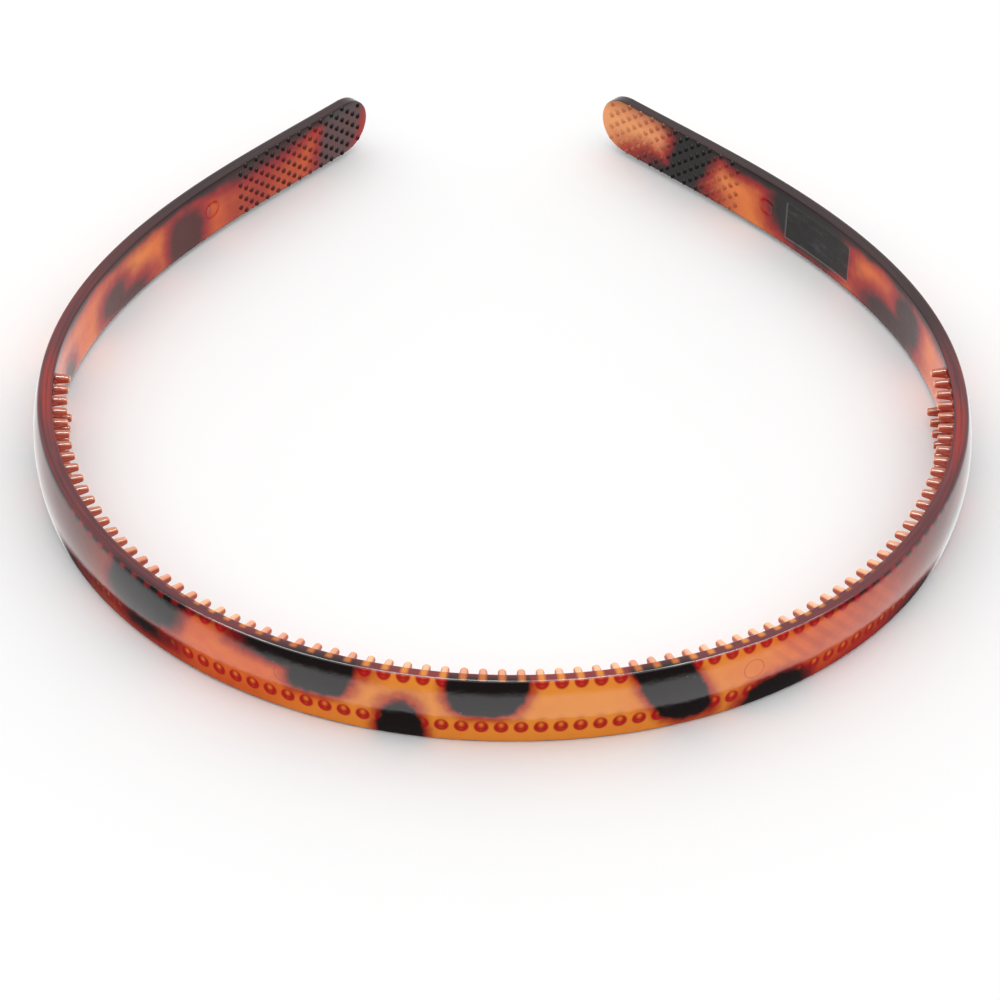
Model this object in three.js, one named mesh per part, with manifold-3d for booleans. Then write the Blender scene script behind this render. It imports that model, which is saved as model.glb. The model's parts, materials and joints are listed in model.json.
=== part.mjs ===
// A slim comb headband: a springy U of moulded plastic with a row of short teeth along both edges of
// its inner face and dotted grips inside its two tips.
// The band lies on its edge. +Y runs from the crown of the head to the tips, +X is the right-hand side
// and +Z is across the band's width. Lengths are in millimetres.
//
// Every piece is drawn flat and then bent. A flat place has three numbers: along, the distance from the
// middle of the crown measured on the inner face (the left side is negative); out, the distance outwards
// from the inner face; and up, the distance above the band's mid-width.

import * as THREE from 'three';
import { mergeVertices } from 'three/addons/utils/BufferGeometryUtils.js';
import Module from 'manifold-3d';

const wasm = await Module();
wasm.setup();

// The line that the inner face follows, from the middle of the crown to a tip.
const CROWN_RADIUS = 69.6;
const SIDE_RADIUS = 57.5;
const ARM_RADIUS = 195;
const TIP_FLARE_RADIUS = 227;
const CROWN_RUN = 54.5; // from the middle of the crown to where the side bend is full
const SIDE_RUN = 54.7; // the side bend
const EASE_RUN = 45.3; // from the side bend to where the arm is nearly straight
const TIP_RUN = 27.2; // from there to the tip, which flares outwards

// The band's section: a flat inner face, two rims and a domed outer face.
const CROWN_WIDTH = 10.5;
const TIP_WIDTH = 8.75;
const CROWN_RIM = 1.41;
const SIDE_RIM = 2.0;
const TIP_RIM = 1.78;
const THICKEST_AT = 82; // along, where the rim is at its thickest
const DOME_RISE = 0.75;
const RIM_CHAMFER = 0.25;

// The comb: teeth in two rows, each row on its own rail let into the inner face.
const TOOTH_PITCH = 2.49;
const TOOTH_REACH = 2.1; // from the inner face to a tooth's end
const TOOTH_BASE_RADIUS = 0.75;
const TOOTH_NECK_RADIUS = 0.48;
const TOOTH_NECK_DROP = 0.35; // the rounding at a tooth's end
const CROWN_TEETH = 17; // in one row of the whole crown: one in the middle and 8 on each side of it
const SHOULDER_TEETH = 16;
const TEMPLE_TEETH = 16;
const ROW_INSET = 1.35; // from the band's edge to a row's middle
const RAIL_LEDGE = 0.05; // how far the rail stands out beside the teeth
const RAIL_SUNK = 0.3;
const RAIL_PROUD = 0.2;

// The flex lines, where one zone of the band meets the next.
const SPLIT_GAP = 0.4;
const COMB_END_MARGIN = 1.8;

// The dotted grips.
const GRIP_LENGTH = 27;
const GRIP_EDGE = 0.7; // from the band's edge to the grip's
const GRIP_SUNK = 0.4;
const DOT_COLUMN_PITCH = 1.12;
const DOT_ROW_PITCH = 1.0;
const DOT_RADIUS = 0.5;
const DOT_HEIGHT = 0.35;

// The blank label panel in the right arm, and the round marks that the mould's ejector pins leave.
const PANEL_LENGTH = 13.6;
const PANEL_HEIGHT = 6.2;
const PANEL_DROP = 0.2; // the panel's middle lies this far below mid-width
const PANEL_DEPTH = 0.2;
const PANEL_TO_GRIP = 9;
const MARK_RADIUS = 1.4;
const MARK_DEPTH = 0.15;
const MARK_TO_GRIP = 5;
const SHOULDER_MARK_AT = 30.4;

// Fits and facets.
const FIT_GAP = 0.3;
const FACET_LENGTH = 4.2;
const DOME_FACETS = 5;
const TOOTH_SIDES = 6;
const MARK_SIDES = 16;
const TIP_SIDES = 12;
const LINE_STEP = 0.5;
const PAST = 1; // how far a cutter stands past what it cuts

const HALF_LENGTH = CROWN_RUN + SIDE_RUN + EASE_RUN + TIP_RUN;
const CROWN_END = CROWN_TEETH * TOOTH_PITCH / 2;
const SHOULDER_END = CROWN_END + SHOULDER_TEETH * TOOTH_PITCH;
const COMB_END = SHOULDER_END + TEMPLE_TEETH * TOOTH_PITCH;
const TEMPLE_END = COMB_END + COMB_END_MARGIN;
const GRIP_END = HALF_LENGTH - GRIP_EDGE;
const GRIP_START = GRIP_END - GRIP_LENGTH;
const TIP_ROUND = TIP_WIDTH / 2;
const TIP_CENTRE = HALF_LENGTH - TIP_ROUND;
const CUT_THROUGH = 4 * (SIDE_RIM + DOME_RISE);

// ---- The line and the band's changing size ----

// A value that runs in straight lines between [along, value] stops, the same on both sides.
function between(stops, along) {
  const at = Math.abs(along);
  const next = stops.findIndex(([stop]) => stop >= at);
  if (next <= 0) {
    return next === 0 ? stops[0][1] : stops.at(-1)[1];
  }
  const [low, lowValue] = stops[next - 1];
  const [high, highValue] = stops[next];
  return THREE.MathUtils.mapLinear(at, low, high, lowValue, highValue);
}

const BEND_STOPS = [
  [0, 1 / CROWN_RADIUS],
  [CROWN_RUN, 1 / SIDE_RADIUS],
  [CROWN_RUN + SIDE_RUN, 1 / SIDE_RADIUS],
  [CROWN_RUN + SIDE_RUN + EASE_RUN, 1 / ARM_RADIUS],
  [HALF_LENGTH, -1 / TIP_FLARE_RADIUS],
];
const WIDTH_STOPS = [[CROWN_END, CROWN_WIDTH], [HALF_LENGTH, TIP_WIDTH]];
const RIM_STOPS = [[0, CROWN_RIM], [THICKEST_AT, SIDE_RIM], [HALF_LENGTH, TIP_RIM]];

// The inner face at a distance along: its point, and the directions along it and out of it.
function lineAt(along) {
  const steps = Math.max(1, Math.ceil(Math.abs(along) / LINE_STEP));
  const step = along / steps;
  const point = new THREE.Vector3();
  let turn = 0;
  for (let i = 0; i < steps; i += 1) {
    const turned = between(BEND_STOPS, (i + 0.5) * step) * step;
    const heading = turn + turned / 2;
    point.x += Math.cos(heading) * step;
    point.y += Math.sin(heading) * step;
    turn += turned;
  }
  return {
    point,
    forward: new THREE.Vector3(Math.cos(turn), Math.sin(turn), 0),
    outward: new THREE.Vector3(Math.sin(turn), -Math.cos(turn), 0),
  };
}

// Where a flat place comes to lie once the band is bent.
function bentPlace(along, out, up) {
  const { point, outward } = lineAt(along);
  point.addScaledVector(outward, out);
  point.z = up;
  return point;
}

// The band's own material follows its taper: the rims take up the change and the dome keeps its rise.
function bandPlace(along, out, up) {
  const thicker = (between(RIM_STOPS, along) - SIDE_RIM) * Math.min(1, out / SIDE_RIM);
  return bentPlace(along, out + thicker, up * between(WIDTH_STOPS, along) / CROWN_WIDTH);
}

// A comb row keeps its distance from the band's upper (1) or lower (-1) edge.
const rowPlace = (side) => (along, out, up) => {
  return bentPlace(along, out, up + side * (between(WIDTH_STOPS, along) / 2 - ROW_INSET));
};

// ---- Solids ----

function solidOf(geometry) {
  geometry.deleteAttribute('normal');
  geometry.deleteAttribute('uv');
  const merged = mergeVertices(geometry);
  return new wasm.Manifold(new wasm.Mesh({
    numProp: 3,
    vertProperties: new Float32Array(merged.attributes.position.array),
    triVerts: new Uint32Array(merged.index.array),
  }));
}

function geometryOf(solid) {
  const mesh = solid.getMesh();
  const geometry = new THREE.BufferGeometry();
  geometry.setAttribute('position', new THREE.BufferAttribute(mesh.vertProperties, 3));
  geometry.setIndex(new THREE.BufferAttribute(mesh.triVerts, 1));
  return geometry;
}

// A section, drawn with x up and y out, carried along the band and bent to its place.
function strip(section, from, to, place) {
  const geometry = new THREE.ExtrudeGeometry(section, {
    depth: to - from,
    steps: Math.ceil((to - from) / FACET_LENGTH),
    curveSegments: DOME_FACETS,
    bevelEnabled: false,
  });
  const spots = geometry.attributes.position;
  for (let i = 0; i < spots.count; i += 1) {
    const bent = place(from + spots.getZ(i), spots.getY(i), spots.getX(i));
    spots.setXYZ(i, bent.x, bent.y, bent.z);
  }
  return solidOf(geometry);
}

// A small straight shape set on the band, its Y axis pointing inwards from the face.
function standing(geometry, along, out, up) {
  const { outward, forward } = lineAt(along);
  const inward = outward.negate();
  const across = new THREE.Vector3().crossVectors(forward, inward);
  const turned = new THREE.Matrix4().makeBasis(forward, inward, across);
  const set = turned.setPosition(bentPlace(along, out, up));
  return solidOf(geometry.clone().applyMatrix4(set));
}

function rectangle(lowUp, highUp, lowOut, highOut) {
  return new THREE.Shape([
    new THREE.Vector2(lowUp, lowOut),
    new THREE.Vector2(highUp, lowOut),
    new THREE.Vector2(highUp, highOut),
    new THREE.Vector2(lowUp, highOut),
  ]);
}

// What is cut away so that a piece ends in a half circle, concentric with the tip's own.
function endCutter(side, radius) {
  const reach = TIP_ROUND + PAST;
  const outline = new THREE.Shape();
  outline.moveTo(0, -radius);
  outline.absarc(0, 0, radius, -Math.PI / 2, Math.PI / 2, false);
  outline.lineTo(0, reach);
  outline.lineTo(reach, reach);
  outline.lineTo(reach, -reach);
  outline.lineTo(0, -reach);
  const geometry = new THREE.ExtrudeGeometry(outline, {
    depth: CUT_THROUGH,
    curveSegments: TIP_SIDES,
    bevelEnabled: false,
  });
  geometry.translate(0, 0, -CUT_THROUGH / 2);
  const { point, forward, outward } = lineAt(side * TIP_CENTRE);
  const tipward = forward.multiplyScalar(side);
  const upward = new THREE.Vector3().crossVectors(outward, tipward);
  geometry.applyMatrix4(new THREE.Matrix4().makeBasis(tipward, upward, outward).setPosition(point));
  return solidOf(geometry);
}

// ---- The pieces ----

function bandSection() {
  const edge = CROWN_WIDTH / 2;
  const section = new THREE.Shape();
  section.moveTo(-edge, 0);
  section.lineTo(edge, 0);
  section.lineTo(edge, SIDE_RIM - RIM_CHAMFER);
  section.lineTo(edge - RIM_CHAMFER, SIDE_RIM);
  section.quadraticCurveTo(0, SIDE_RIM + 2 * DOME_RISE, RIM_CHAMFER - edge, SIDE_RIM);
  section.lineTo(-edge, SIDE_RIM - RIM_CHAMFER);
  return section;
}

// One row of teeth on its rail. Each tooth takes up one pitch, and the row fills from one end to the other.
function combRow([from, to], side) {
  const start = from + SPLIT_GAP / 2;
  const end = to - SPLIT_GAP / 2;
  const half = TOOTH_BASE_RADIUS + RAIL_LEDGE;
  const tooth = new THREE.LatheGeometry([
    new THREE.Vector2(0, -RAIL_SUNK / 2),
    new THREE.Vector2(TOOTH_BASE_RADIUS, -RAIL_SUNK / 2),
    new THREE.Vector2(TOOTH_NECK_RADIUS, TOOTH_REACH - TOOTH_NECK_DROP),
    new THREE.Vector2(0, TOOTH_REACH),
  ], TOOTH_SIDES);
  let row = strip(rectangle(-half, half, -RAIL_PROUD, RAIL_SUNK), start, end, rowPlace(side));
  for (let i = 0; i < Math.round((to - from) / TOOTH_PITCH); i += 1) {
    const along = from + (i + 0.5) * TOOTH_PITCH;
    const up = side * (between(WIDTH_STOPS, along) / 2 - ROW_INSET);
    row = row.add(standing(tooth, along, 0, up));
  }
  return row;
}

// The groove that a comb row's rail lies in, FIT_GAP clear of it all round.
function railGroove(from, to, side) {
  const half = TOOTH_BASE_RADIUS + RAIL_LEDGE + FIT_GAP;
  const section = rectangle(-half, half, -PAST, RAIL_SUNK + FIT_GAP);
  return strip(section, from - FIT_GAP, to + FIT_GAP, rowPlace(side));
}

// The shallow round mark of an ejector pin at mid-width.
function ejectorMark(along) {
  const height = MARK_DEPTH + PAST;
  const pin = new THREE.CylinderGeometry(MARK_RADIUS, MARK_RADIUS, height, MARK_SIDES);
  return standing(pin.translate(0, height / 2, 0), along, MARK_DEPTH, 0);
}

function labelPanel() {
  const to = GRIP_START - PANEL_TO_GRIP;
  const half = PANEL_HEIGHT / 2;
  const section = rectangle(-PANEL_DROP - half, half - PANEL_DROP, -PAST, PANEL_DEPTH);
  return strip(section, to - PANEL_LENGTH, to, bentPlace);
}

function ordered(side, near, far) {
  return side > 0 ? [near, far] : [-far, -near];
}

// The grip's plate, or with a clearance the recess it lies in, down to a depth below the inner face.
function gripPlate(side, clearance, lowOut, depth) {
  const half = TIP_ROUND - GRIP_EDGE + clearance;
  const [from, to] = ordered(side, GRIP_START - clearance, HALF_LENGTH);
  const plate = strip(rectangle(-half, half, lowOut, depth), from, to, bentPlace);
  return plate.subtract(endCutter(side, half));
}

// The grip: a plate with staggered four-sided dots, kept clear of its edge and of the tip's round.
function grip(side) {
  const half = TIP_ROUND - GRIP_EDGE - DOT_RADIUS;
  const columns = Math.floor(GRIP_LENGTH / DOT_COLUMN_PITCH);
  const rows = Math.floor(half / DOT_ROW_PITCH);
  const height = DOT_HEIGHT + GRIP_SUNK / 2;
  const dot = new THREE.ConeGeometry(DOT_RADIUS, height, 4);
  dot.translate(0, height / 2 - GRIP_SUNK / 2, 0);
  let plate = gripPlate(side, 0, 0, GRIP_SUNK);
  for (let column = 1; column < columns; column += 1) {
    const along = GRIP_START + column * DOT_COLUMN_PITCH;
    for (let row = -rows; row <= rows; row += 1) {
      const up = row * DOT_ROW_PITCH;
      const pastCentre = Math.max(0, along - TIP_CENTRE);
      if ((column + row) % 2 === 0 && Math.hypot(pastCentre, up) <= half) {
        plate = plate.add(standing(dot, side * along, 0, up));
      }
    }
  }
  return plate;
}

// A stretch of band with both grooves. The last stretch of each side reaches a little past its teeth.
function combBand([from, to], [bandFrom, bandTo]) {
  const band = strip(bandSection(), bandFrom + SPLIT_GAP / 2, bandTo - SPLIT_GAP / 2, bandPlace);
  return band.subtract(railGroove(from, to, 1)).subtract(railGroove(from, to, -1));
}

function armBand(side) {
  const [from, to] = ordered(side, TEMPLE_END + SPLIT_GAP / 2, HALF_LENGTH);
  const arm = strip(bandSection(), from, to, bandPlace)
    .subtract(endCutter(side, TIP_ROUND))
    .subtract(gripPlate(side, FIT_GAP, -PAST, GRIP_SUNK + FIT_GAP))
    .subtract(ejectorMark(side * (GRIP_START - MARK_TO_GRIP)));
  return side > 0 ? arm.subtract(labelPanel()) : arm;
}

// ---- The assembly ----

const bandPlastic = { color: 0x8a3216, roughness: 0.12, metalness: 0 };
const combPlastic = { color: 0xd8683a, roughness: 0.15, metalness: 0 };
const gripPlastic = { color: 0xa84324, roughness: 0.3, metalness: 0 };

const group = new THREE.Group();

function addPiece(name, solid, plastic) {
  const mesh = new THREE.Mesh(geometryOf(solid), new THREE.MeshStandardMaterial(plastic));
  mesh.name = name;
  group.add(mesh);
}

function addCombZone(name, teeth, band) {
  addPiece(`${name}_band`, band, bandPlastic);
  addPiece(`${name}_upper_comb`, combRow(teeth, 1), combPlastic);
  addPiece(`${name}_lower_comb`, combRow(teeth, -1), combPlastic);
}

const crown = [-CROWN_END, CROWN_END];
addCombZone('crown', crown, combBand(crown, crown));
for (const [hand, side] of [['right', 1], ['left', -1]]) {
  const shoulder = ordered(side, CROWN_END, SHOULDER_END);
  const shoulderBand = combBand(shoulder, shoulder).subtract(ejectorMark(side * SHOULDER_MARK_AT));
  addCombZone(`${hand}_shoulder`, shoulder, shoulderBand);
  const temple = ordered(side, SHOULDER_END, COMB_END);
  const templeBand = combBand(temple, ordered(side, SHOULDER_END, TEMPLE_END));
  addCombZone(`${hand}_temple`, temple, templeBand);
  addPiece(`${hand}_arm_band`, armBand(side), bandPlastic);
  addPiece(`${hand}_tip_grip`, grip(side), gripPlastic);
}

// The origin is under the middle of the whole band, in the plane that it lies on.
const box = new THREE.Box3().setFromObject(group);
const middle = box.getCenter(new THREE.Vector3());
group.position.set(-middle.x, -middle.y, -box.min.z);

// Where the band flexes: each line stands upright through the middle of its thickness.
group.userData.flexLines = Object.fromEntries(
  [['crown', CROWN_END], ['shoulder', SHOULDER_END], ['temple', TEMPLE_END]].map(([zone, along]) => {
    const out = (between(RIM_STOPS, along) + DOME_RISE) / 2;
    return [zone, bentPlace(along, out, 0).add(group.position)];
  }),
);

export default group;
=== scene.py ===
"""A slim comb headband in glossy mottled plastic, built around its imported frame."""

import json
import math

import bmesh
import bpy
import numpy as np
from bpy.props import FloatProperty, FloatVectorProperty, IntProperty, PointerProperty
from bpy.types import Operator, Panel, PropertyGroup
from mathutils import Matrix, Vector


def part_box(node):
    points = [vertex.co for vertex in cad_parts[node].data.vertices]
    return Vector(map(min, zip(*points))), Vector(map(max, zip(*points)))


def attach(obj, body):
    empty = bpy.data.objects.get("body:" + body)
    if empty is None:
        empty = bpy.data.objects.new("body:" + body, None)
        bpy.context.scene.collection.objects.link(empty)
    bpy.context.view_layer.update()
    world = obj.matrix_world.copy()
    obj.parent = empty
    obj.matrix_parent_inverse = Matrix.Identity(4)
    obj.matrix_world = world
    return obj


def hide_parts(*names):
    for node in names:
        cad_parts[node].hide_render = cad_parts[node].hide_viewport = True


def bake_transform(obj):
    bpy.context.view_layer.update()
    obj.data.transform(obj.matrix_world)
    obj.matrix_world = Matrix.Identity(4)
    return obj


bl_info = {
    "name": "Comb Headband",
    "version": (1, 0, 0),
    "blender": (4, 5, 0),
    "location": "View3D > Sidebar > Headband",
    "description": "Adds a springy comb headband in mottled plastic, piece by piece",
    "category": "Add Mesh",
}

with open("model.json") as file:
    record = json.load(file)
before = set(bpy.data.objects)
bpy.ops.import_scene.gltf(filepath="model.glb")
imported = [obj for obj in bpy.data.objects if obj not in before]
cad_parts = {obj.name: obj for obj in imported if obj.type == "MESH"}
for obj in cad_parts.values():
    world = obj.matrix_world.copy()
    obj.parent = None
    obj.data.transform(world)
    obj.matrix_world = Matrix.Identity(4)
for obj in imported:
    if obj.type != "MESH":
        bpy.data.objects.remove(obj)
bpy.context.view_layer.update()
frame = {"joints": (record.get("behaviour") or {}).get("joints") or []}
JOINTS = {joint["name"]: joint for joint in frame["joints"]}
MM = 0.001
SIDES = {"right": 1, "left": -1}
ROWS = {"upper": 1, "lower": -1}

# On each side the crown and shoulder flex lines lie past that many teeth.
FLEX_TEETH = (8, 24)

# Distances along the band, in millimetres: from the comb's end to the temple flex line, from a
# flex line to each end of the stretch round it, and from a grip to the ejector mark by it.
PAST_COMB = 1.8
FLEX_REACH = 14.0
GRIP_TO_MARK = 5


# ---- Sizes and colours ----


def length(name, description, default):
    """A length property, in metres."""
    return FloatProperty(
        name=name, description=description, default=default, unit="LENGTH", precision=5
    )


def colour(name, description, default):
    """A colour property, in scene linear."""
    return FloatVectorProperty(
        name=name, description=description, default=default, subtype="COLOR", size=3, min=0, max=1
    )


class HEADBAND_PG_sizes(PropertyGroup):
    """The sizes of the band, its comb and its grips."""

    crown_radius: length("Crown radius", "Bend radius at the middle of the crown", 0.0696)
    side_radius: length("Side radius", "Bend radius over the sides of the head", 0.0575)
    arm_radius: length("Arm radius", "Bend radius where the arm is nearly straight", 0.195)
    tip_radius: length("Tip radius", "Radius at which the tip flares outwards", 0.227)
    crown_run: length("Crown run", "Length from the crown to the full side bend", 0.0545)
    side_run: length("Side run", "Length of the side bend", 0.0547)
    ease_run: length("Ease run", "Length from the side bend to the straight arm", 0.0453)
    tip_run: length("Tip run", "Length of the flared end", 0.0272)
    crown_width: length(
        "Crown width",
        "Width of the band over the crown",
        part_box("crown_band")[1].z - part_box("crown_band")[0].z,
    )
    tip_width: length("Tip width", "Width of the band at its tips", 0.00875)
    crown_rim: length("Crown rim", "Thickness of the rim at the crown", 0.00141)
    side_rim: length("Side rim", "Thickness of the rim at its thickest", 0.002)
    tip_rim: length("Tip rim", "Thickness of the rim at the tips", 0.00178)
    thickest_at: length("Thickest at", "Distance along the band to its thickest place", 0.082)
    dome_rise: length("Dome rise", "How far the outer face stands out at mid-width", 0.00075)
    inner_round: length("Inner round", "Rounding of the inner edges", 0.00018)
    outer_round: length("Outer round", "Rounding of the outer edges", 0.00036)
    tooth_pitch: length("Tooth pitch", "Distance from tooth to tooth", 0.00249)
    tooth_reach: length("Tooth reach", "Height of a tooth above the inner face", 0.0021)
    row_inset: length("Row inset", "From the band's edge to the middle of a row", 0.00135)
    grip_length: length("Grip length", "Length of a dotted grip", 0.027)
    grip_edge: length("Grip edge", "From the tip's outline to the grip", 0.0007)
    dot_column: length("Dot column", "Distance between columns of dots", 0.00112)
    dot_row: length("Dot row", "Distance between rows of dots", 0.001)
    dot_radius: length("Dot radius", "Half the width of a dot", 0.00051)
    dot_height: length("Dot height", "Height of a dot", 0.00027)
    mark_radius: length("Mark radius", "Radius of an ejector pin mark", 0.0014)
    mark_at: length("Mark place", "Distance along the band to the shoulder marks", 0.0304)
    panel_depth: length("Panel depth", "Depth of the label panel", 0.00016)
    teeth_per_side: IntProperty(
        name="Teeth per side",
        description="Teeth in a row, on each side of the middle one",
        default=40,
        min=1,
    )


class HEADBAND_PG_colours(PropertyGroup):
    """The colours of the mottled plastic."""

    # Amber and orange also paint the glints on the tooth roots.
    amber: colour("Amber", "The clearest, lightest plastic", (0.83, 0.275, 0.032))
    orange: colour("Orange", "The plastic's usual colour", (0.74, 0.125, 0.016))
    # Red and deep also paint shade on the teeth, and deep on the grip's dots.
    red: colour("Red", "Where the plastic runs towards a blotch", (0.36, 0.022, 0.012))
    # Wine also paints the ring round the marks in the arms, partly as painted shade.
    wine: colour("Wine", "Tooth roots, and the rims of the blotches", (0.44, 0.002, 0.008))
    deep: colour("Deep", "The plastic seen through its whole width", (0.055, 0.008, 0.009))
    # Dark also paints reflections along the outer upper corner and in the label panel, and shade on
    # the dots.
    dark: colour("Dark", "The black-brown of the blotches", (0.008, 0.004, 0.004))
    mauve: colour("Mauve", "The rims, seen edge on", (0.14, 0.028, 0.036))
    peach: colour("Peach", "The teeth", (0.95, 0.50, 0.28))
    # Floor also paints reflections and a highlight on the inner face, at the left tip and round the
    # panel.
    floor: colour("Floor", "The pale surface under the band, and dust", (0.95, 0.95, 0.95))


# ---- The line of the band ----


class BandLine:
    """The bent line of the inner face. Places are given as along, out and up, in millimetres."""

    STEP = 0.1

    def __init__(self, sizes):
        runs = (sizes.crown_run, sizes.side_run, sizes.ease_run, sizes.tip_run)
        stops = np.cumsum((0, *runs)) / MM
        radii = (sizes.crown_radius, sizes.side_radius, sizes.side_radius, sizes.arm_radius)
        bends = [MM / r for r in radii] + [-MM / sizes.tip_radius]
        self.half_length = float(stops[-1])
        self.grid = np.linspace(0, self.half_length, round(self.half_length / self.STEP) + 1)
        step = self.grid[1]
        middle = (self.grid[1:] + self.grid[:-1]) / 2
        turns = np.interp(middle, stops, bends) * step
        self.turn = np.concatenate([[0], np.cumsum(turns)])
        heading = (self.turn[1:] + self.turn[:-1]) / 2
        self.x = np.concatenate([[0], np.cumsum(np.cos(heading) * step)])
        self.y = np.concatenate([[0], np.cumsum(np.sin(heading) * step)])

        self.width_stops = (self.flex_at(sizes, FLEX_TEETH[0]), self.half_length)
        self.widths = (sizes.crown_width / MM, sizes.tip_width / MM)
        self.rim_stops = (0, sizes.thickest_at / MM, self.half_length)
        self.rims = (sizes.crown_rim / MM, sizes.side_rim / MM, sizes.tip_rim / MM)
        self.dome = sizes.dome_rise / MM

        # The frame's first flex line, halfway through the band, fixes where the whole line lies.
        hinge = JOINTS["right_crown_flex"]["pos_m"]
        flex = self.width_stops[0]
        self.shift = np.zeros(3)
        here = self.place(flex, (self.rim(flex) + self.dome) / 2, 0)
        self.shift = np.array(hinge) / MM - here / MM

    @staticmethod
    def flex_at(sizes, teeth):
        """Distance along the band to the flex line past that many teeth from the middle one."""
        return (teeth + 0.5) * sizes.tooth_pitch / MM

    def width(self, along):
        """The band's width."""
        return np.interp(np.abs(along), self.width_stops, self.widths)

    def rim(self, along):
        """The thickness of the band's rims."""
        return np.interp(np.abs(along), self.rim_stops, self.rims)

    def place(self, along, out, up):
        """Points in the frame's own axes, in metres."""
        along, out, up = np.broadcast_arrays(*(np.asarray(v, float) for v in (along, out, up)))
        side = np.where(along < 0, -1.0, 1.0)
        far = np.abs(along)
        turn = side * np.interp(far, self.grid, self.turn)
        x = side * np.interp(far, self.grid, self.x) + np.sin(turn) * out
        y = np.interp(far, self.grid, self.y) - np.cos(turn) * out
        return (np.stack([x, y, up], axis=-1) + self.shift) * MM

    def axes(self, along):
        """The directions inwards, forwards along the band and upwards at one place."""
        side = -1.0 if along < 0 else 1.0
        turn = side * np.interp(abs(along), self.grid, self.turn)
        forward = Vector((math.cos(turn), math.sin(turn), 0))
        inward = Vector((-math.sin(turn), math.cos(turn), 0))
        return inward, forward, Vector((0, 0, 1))


# ---- Where the pattern lies ----

# Each blotch is (along, up, half its length, half its height, lean along per unit up), in
# millimetres. Its outline is a rounded box, squarer the higher the power.
BLOTCHES = (
    (-4.2, 4.6, 5.2, 5.0, 0.1),
    (-15.2, -5.2, 3.1, 6.0, 0.0),
    (-29.5, 5.3, 8.4, 2.7, 0.0),
    (-25.6, 2.4, 4.1, 2.8, 0.35),
    (-52.7, 3.6, 7.0, 4.8, 0.3),
    (-52.0, -2.0, 4.6, 1.7, 0.0),
    (-74.0, -5.0, 8.0, 2.6, 0.0),
    (-93.0, -1.8, 4.5, 3.6, -0.4),
    (19.0, 2.7, 4.1, 6.9, -0.45),
    (34.0, -4.4, 5.2, 3.5, 0.0),
    (61.5, -4.8, 6.5, 2.2, 0.0),
    (74.0, -1.0, 5.0, 3.4, 0.3),
    (91.0, -2.4, 6.0, 3.0, 0.4),
    (-108.6, -3.2, 2.4, 2.2, 0.0),
    (-125.2, -1.8, 3.4, 2.9, 0.0),
    (-130.2, -4.0, 4.4, 2.2, 0.0),
    (-143.2, -1.8, 4.0, 4.9, 0.0),
    (-159.5, 4.8, 8.5, 3.2, 0.0),
    (-150.0, 5.4, 5.0, 2.2, 0.0),
    (-176.2, 0.8, 4.3, 7.5, -0.3),
    (115.6, 0.0, 4.0, 3.6, 0.0),
    (120.4, -3.4, 7.0, 2.9, 0.0),
    (139.9, 1.4, 8.6, 5.6, 0.0),
    (151.0, 5.0, 6.0, 1.9, 0.0),
    (164.0, 1.0, 3.8, 7.5, -0.4),
    (167.5, -4.4, 6.8, 2.4, 0.0),
)
BLOTCH_POWER = 2.6

# How light the clear plastic is along the band: 0 is red, 1 is amber.
TONES = (
    (-182, 0.1), (-176, 0.2), (-170, 0.45), (-166, 0.3), (-160, 0.1), (-153, 0.3), (-149, 0.5),
    (-145, 0.4), (-137, 0.7), (-130, 0.8), (-120, 0.6), (-108, 0.5), (-98, 0.2), (-70, 0.15),
    (-60, 0.3), (-45, 0.4), (-34, 0.5), (-24, 0.75), (-15, 1.0), (-5, 0.9), (8, 1.0), (15, 0.85),
    (28, 0.75), (38, 0.4), (50, 0.15), (60, 0.1), (80, 0.1), (98, 0.3), (106, 0.6), (114, 0.55),
    (122, 0.45), (129, 0.75), (149, 0.7), (157, 0.75), (168, 0.6), (174, 0.95), (182, 0.95),
)


def blotch_depth(along, up):
    """How far inside a blotch a place is, in millimetres; less than 0 is outside."""
    far_outside = -9.0
    depth = np.full(np.shape(along), far_outside)
    for middle, level, half_along, half_up, lean in BLOTCHES:
        across = np.abs((along - middle - lean * (up - level)) / half_along)
        upward = np.abs((up - level) / half_up)
        reach = (across**BLOTCH_POWER + upward**BLOTCH_POWER) ** (1 / BLOTCH_POWER)
        depth = np.maximum(depth, (1 - reach) * min(half_along, half_up))
    return depth


def tone(along):
    """How light the clear plastic is at places along the band."""
    stops, values = zip(*TONES)
    return np.interp(along, stops, values)


# ---- Meshes ----


def new_object(name, points, faces, kinds, materials, marks):
    """A smooth mesh object. marks are its attributes, such as along and up, at each point."""
    mesh = bpy.data.meshes.new(name)
    mesh.from_pydata([tuple(p) for p in points], [], [tuple(int(i) for i in f) for f in faces])
    for key, values in marks.items():
        layer = mesh.attributes.new(key, "FLOAT", "POINT")
        layer.data.foreach_set("value", np.asarray(values, np.float32))
    for material in materials:
        mesh.materials.append(material)
    mesh.polygons.foreach_set("material_index", np.asarray(kinds, np.int32))
    mesh.polygons.foreach_set("use_smooth", np.ones(len(mesh.polygons), bool))
    mesh.update()
    piece = bpy.data.objects.new(name, mesh)
    bpy.context.scene.collection.objects.link(piece)
    return piece


def pattern_marks(line, along, up, out):
    """The attributes that the pattern is painted from."""
    half = line.width(along) / 2
    return {
        "along": along,
        "up": up,
        "out": out,
        "edge": half - np.abs(up),
        "depth": blotch_depth(along, up),
        "tone": tone(along),
        "panel": LabelPanel.inside(along, up),
    }


# The faces of the band, in the order of its materials.
INNER, RIM, OUTER = range(3)

# Points round the inner edge, over the rim, round the outer edge and down half of the dome.
BEND_POINTS, EDGE_POINTS, TURN_POINTS, DOME_POINTS = 5, 6, 7, 12

# Lines along the flat inner face, above its middle. They close in on the label panel's edges.
INNER_LINES = (0.0, 1.5, 2.6, 2.78, 2.87, 2.93, 3.02, 3.18, 3.27, 3.33, 3.42, 3.6)


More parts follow.
